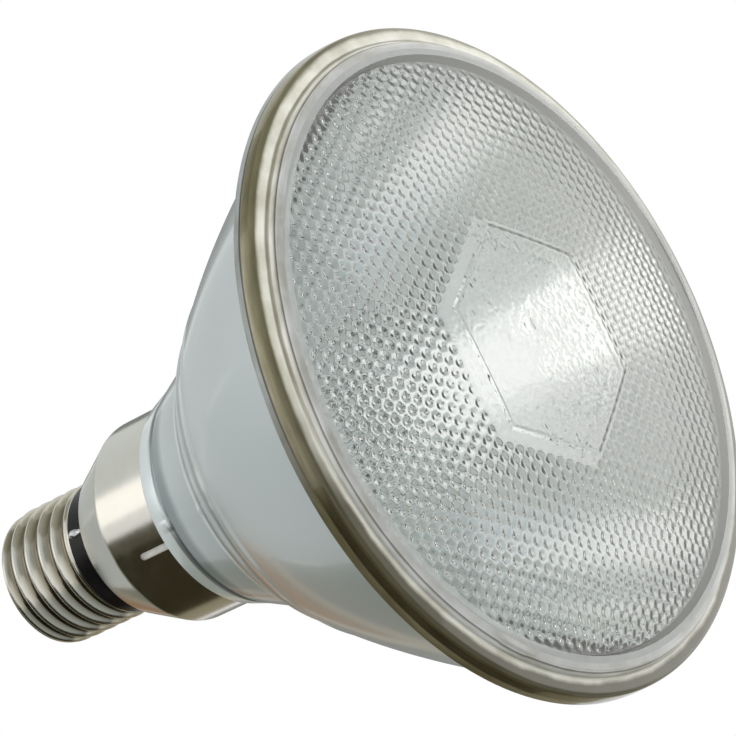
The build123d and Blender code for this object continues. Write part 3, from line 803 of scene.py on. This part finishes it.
plainFinishes = {
    "white_cement": mattFinish("cement", (0.72, 0.70, 0.65), (0.86, 0.85, 0.81), 0.75, 0.95, 700),
    "black_insulator": mattFinish("black_glaze", (0.004, 0.004, 0.005), (0.012, 0.011, 0.011), 0.2, 0.3,
                                  300, 0.01, Specular_IOR_Level=0.2),
    "contact_brass": metalFinish("brass", (0.55, 0.44, 0.24), (0.74, 0.62, 0.38), 0.25, 0.4),
    "tin_solder": tinFinish,
    "lead_wire": metalFinish("lead_wire", (0.52, 0.50, 0.46), (0.66, 0.64, 0.60), 0.25, 0.4),
    "ferrule_metal": metalFinish("ferrule", (0.45, 0.45, 0.44), (0.60, 0.60, 0.58), 0.25, 0.4),
    "support_wire": metalFinish("support_wire", (0.52, 0.52, 0.52), (0.66, 0.66, 0.66), 0.2, 0.35),
    "arc_ceramic": mattFinish("alumina", (0.80, 0.78, 0.73), (0.90, 0.88, 0.84), 0.4, 0.55, 900, 0.02),
    "tungsten": metalFinish("tungsten", (0.24, 0.24, 0.26), (0.36, 0.36, 0.38), 0.35, 0.5),
    "seal_frit": mattFinish("frit", (0.66, 0.65, 0.60), (0.80, 0.79, 0.74), 0.2, 0.35, 900, 0.02),
    "clip_steel": metalFinish("clip_steel", (0.48, 0.48, 0.48), (0.62, 0.62, 0.62), 0.25, 0.4),
    "getter_metal": metalFinish("getter", (0.32, 0.32, 0.33), (0.46, 0.46, 0.47), 0.5, 0.7, 1500),
    "clear_tube": glassFinish("tube_glass", (0.97, 0.98, 0.97), (1.0, 1.0, 1.0), 0.01, 0.03, 1.48),
    "clear_quartz": glassFinish("quartz", (0.98, 0.98, 0.98), (1.0, 1.0, 1.0), 0.0, 0.02, 1.46),
}
for entry in frame["record"]["subparts"]:
    if entry["material_slot"] in plainFinishes:
        node = frame["nodes"][entry["node"]]
        node.data.materials.clear()
        node.data.materials.append(plainFinishes[entry["material_slot"]])
print("finishes", len(plainFinishes))


# camera, light and the plain stage

# lengths in mm; focal, spot and picture in pixels of the photograph
camera = dict(aim=(0, 0, 117.8), lean=54.28, roll=63.93, distance=642.1, focal=3792.7, spot=(494.3, 362.2),
              picture=736, sensor=36)


def placeCamera():
    c = camera
    lean, roll = radians(c["lean"]), radians(c["roll"])
    away = Vector((sin(lean), 0, cos(lean)))
    ahead = -away
    right = ahead.cross(Vector((0, 0, 1))).normalized()
    up = right.cross(ahead)
    side = right * cos(roll) + up * sin(roll)
    top = up * cos(roll) - right * sin(roll)
    turn = Matrix((side, top, ahead))
    centre = c["picture"] / 2
    across, down = c["spot"][0] - centre, c["spot"][1] - centre
    ray = Vector((across / c["focal"], -down / c["focal"], 1)).normalized()
    swing = Vector((0, 0, 1)).rotation_difference(ray).to_matrix()
    turn = swing @ turn
    view = bpy.data.cameras.new("view")
    view.sensor_width = c["sensor"]
    view.lens = c["focal"] * c["sensor"] / c["picture"]
    view.clip_start = 0.01
    view.clip_end = 20
    eye = bpy.data.objects.new("view", view)
    columns = Matrix((turn[0], turn[1], -turn[2])).transposed()
    eye.matrix_world = Matrix.Translation((Vector(c["aim"]) + away * c["distance"]) * mm) @ columns.to_4x4()
    scene.collection.objects.link(eye)
    scene.camera = eye


placeCamera()


def wayTo(azimuth, elevation):
    a, e = radians(azimuth), radians(elevation)
    return Vector((cos(e) * cos(a), cos(e) * sin(a), sin(e)))


def emission(name, tone):
    finish = bpy.data.materials.new(name)
    finish.use_nodes = True
    tree = finish.node_tree
    tree.nodes.clear()
    glow = tree.nodes.new("ShaderNodeEmission")
    glow.inputs["Color"].default_value = (*tone, 1)
    out = tree.nodes.new("ShaderNodeOutputMaterial")
    tree.links.new(glow.outputs["Emission"], out.inputs["Surface"])
    return finish


heart = Vector((0, 0, 0.06))  # middle of the lamp, which the stage stands round


def seenRay(tree):
    # 1 where the camera, a mirror or glass looks on, 0 for light that falls on the lamp
    path = tree.nodes.new("ShaderNodeLightPath")
    seen = path.outputs["Is Camera Ray"]
    for kind in ("Is Glossy Ray", "Is Transmission Ray"):
        either = tree.nodes.new("ShaderNodeMath")
        either.operation = "MAXIMUM"
        tree.links.new(seen, either.inputs[0])
        tree.links.new(path.outputs[kind], either.inputs[1])
        seen = either.outputs[0]
    return seen


def screen(name, turnFrom, turnTo, riseFrom, riseTo, tone, distance=1.0, throughGlass=True):
    # a curved card round the lamp that only mirrors and glass see
    steps = 10
    points = []
    faces = []
    for i in range(steps + 1):
        for j in range(steps + 1):
            turn = turnFrom + (turnTo - turnFrom) * j / steps
            rise = riseFrom + (riseTo - riseFrom) * i / steps
            points.append(heart + wayTo(turn, rise) * distance)
    for i in range(steps):
        for j in range(steps):
            corner = i * (steps + 1) + j
            faces.append((corner, corner + 1, corner + steps + 2, corner + steps + 1))
    mesh = bpy.data.meshes.new(name)
    mesh.from_pydata(points, [], faces)
    mesh.materials.append(emission(name, tone))
    piece = bpy.data.objects.new(name, mesh)
    scene.collection.objects.link(piece)
    piece.visible_camera = False
    piece.visible_diffuse = False
    piece.visible_shadow = False
    piece.visible_transmission = throughGlass


def softLamp(name, azimuth, elevation, distance, size, power):
    lamp = bpy.data.lights.new(name, "AREA")
    lamp.shape = "SQUARE"
    lamp.size = size
    lamp.energy = power
    piece = bpy.data.objects.new(name, lamp)
    way = wayTo(azimuth, elevation)
    facing = way.to_track_quat("Z", "Y").to_matrix().to_4x4()
    piece.matrix_world = Matrix.Translation(heart + way * distance) @ facing
    scene.collection.objects.link(piece)
    piece.visible_camera = False
    piece.visible_glossy = False


softLamp("key", -60, 35, 1.4, 1.2, 4)
softLamp("fill", 90, 20, 1.6, 1.2, 2)
# screens: a dark table on one side, a bright softbox behind, greys between them
screen("table", 10, 112, -52, 12, (0.036, 0.03, 0.015), throughGlass=False)
screen("table_corner", -8, 10, -52, -30, (0.09, 0.085, 0.055), throughGlass=False)
screen("table_end", 112, 140, -52, 5, (0.33, 0.30, 0.21), throughGlass=False)
screen("table_front", 20, 140, -72, -52, (0.19, 0.205, 0.17))
screen("table_near", -20, 20, -72, -52, (0.34, 0.37, 0.335))
screen("brown_box", 146, 172, -70, -52, (0.30, 0.19, 0.11))
screen("brown_edge", 138, 180, -74, -47, (0.46, 0.41, 0.34), 1.02)
screen("shade", 150, 215, -49, -34, (0.22, 0.23, 0.22), 0.98)
screen("window", 304, 334, -52, -26, (1.5, 1.5, 1.45), 0.98)
screen("ground", 0, 360, -90, -72, (0.50, 0.53, 0.525))
screen("low_back", 178, 300, -72, -52, (0.56, 0.59, 0.58))
screen("mid_back", 178, 300, -52, -30, (0.74, 0.78, 0.77))
screen("back_wall", 140, 250, -30, 5, (0.83, 0.83, 0.77))
screen("softbox", 148, 212, 11, 56, (2.15, 2.15, 2.08), 0.97)
screen("softbox_edge", 138, 222, 4, 64, (1.2, 1.2, 1.16))
screen("side_gap", 252, 290, -30, 30, (0.38, 0.37, 0.31))
screen("side_wall", 290, 342, -8, 30, (0.70, 0.71, 0.71))
screen("upper_left", 20, 140, 12, 68, (0.44, 0.48, 0.48))
screen("upper_right", 250, 330, 30, 68, (0.41, 0.46, 0.44))
screen("right_back", 220, 250, 5, 68, (0.50, 0.54, 0.44))
screen("near_top", -30, 20, 50, 68, (0.55, 0.62, 0.66))
screen("front", 0, 360, 68, 90, (0.46, 0.48, 0.46))

floorHeight = -0.95
floorReach = 4
floorFinish, tree, shader = newFinish("pale_floor", Roughness=0.9)
twoTone(tree, grain(tree, 4), (0.86, 0.86, 0.86), (0.89, 0.89, 0.89), shader.inputs["Base Color"])
glow = tree.nodes.new("ShaderNodeEmission")
mixGlow = tree.nodes.new("ShaderNodeMixShader")
tree.links.new(seenRay(tree), mixGlow.inputs["Fac"])
tree.links.new(shader.outputs["BSDF"], mixGlow.inputs[1])
tree.links.new(glow.outputs["Emission"], mixGlow.inputs[2])
tree.links.new(mixGlow.outputs["Shader"], tree.nodes["Material Output"].inputs["Surface"])
floorMesh = bpy.data.meshes.new("pale_floor")
corners = [(-1, -1), (1, -1), (1, 1), (-1, 1)]
floorCorners = [(x * floorReach, y * floorReach, floorHeight) for x, y in corners]
floorMesh.from_pydata(floorCorners, [], [(0, 1, 2, 3)])
floorMesh.materials.append(floorFinish)
paleFloor = bpy.data.objects.new("pale_floor", floorMesh)
scene.collection.objects.link(paleFloor)

roomLight = 0.65
world = bpy.data.worlds.new("studio")
scene.world = world
world.use_nodes = True
tree = world.node_tree
tree.nodes.clear()
strength = tree.nodes.new("ShaderNodeMapRange")
strength.inputs["To Min"].default_value = roomLight
strength.inputs["To Max"].default_value = 1.0
tree.links.new(seenRay(tree), strength.inputs["Value"])
sky = tree.nodes.new("ShaderNodeBackground")
sky.inputs["Color"].default_value = (1, 1, 1, 1)
tree.links.new(strength.outputs["Result"], sky.inputs["Strength"])
worldOut = tree.nodes.new("ShaderNodeOutputWorld")
tree.links.new(sky.outputs["Background"], worldOut.inputs["Surface"])

scene.view_settings.view_transform = "Standard"

print("ready")
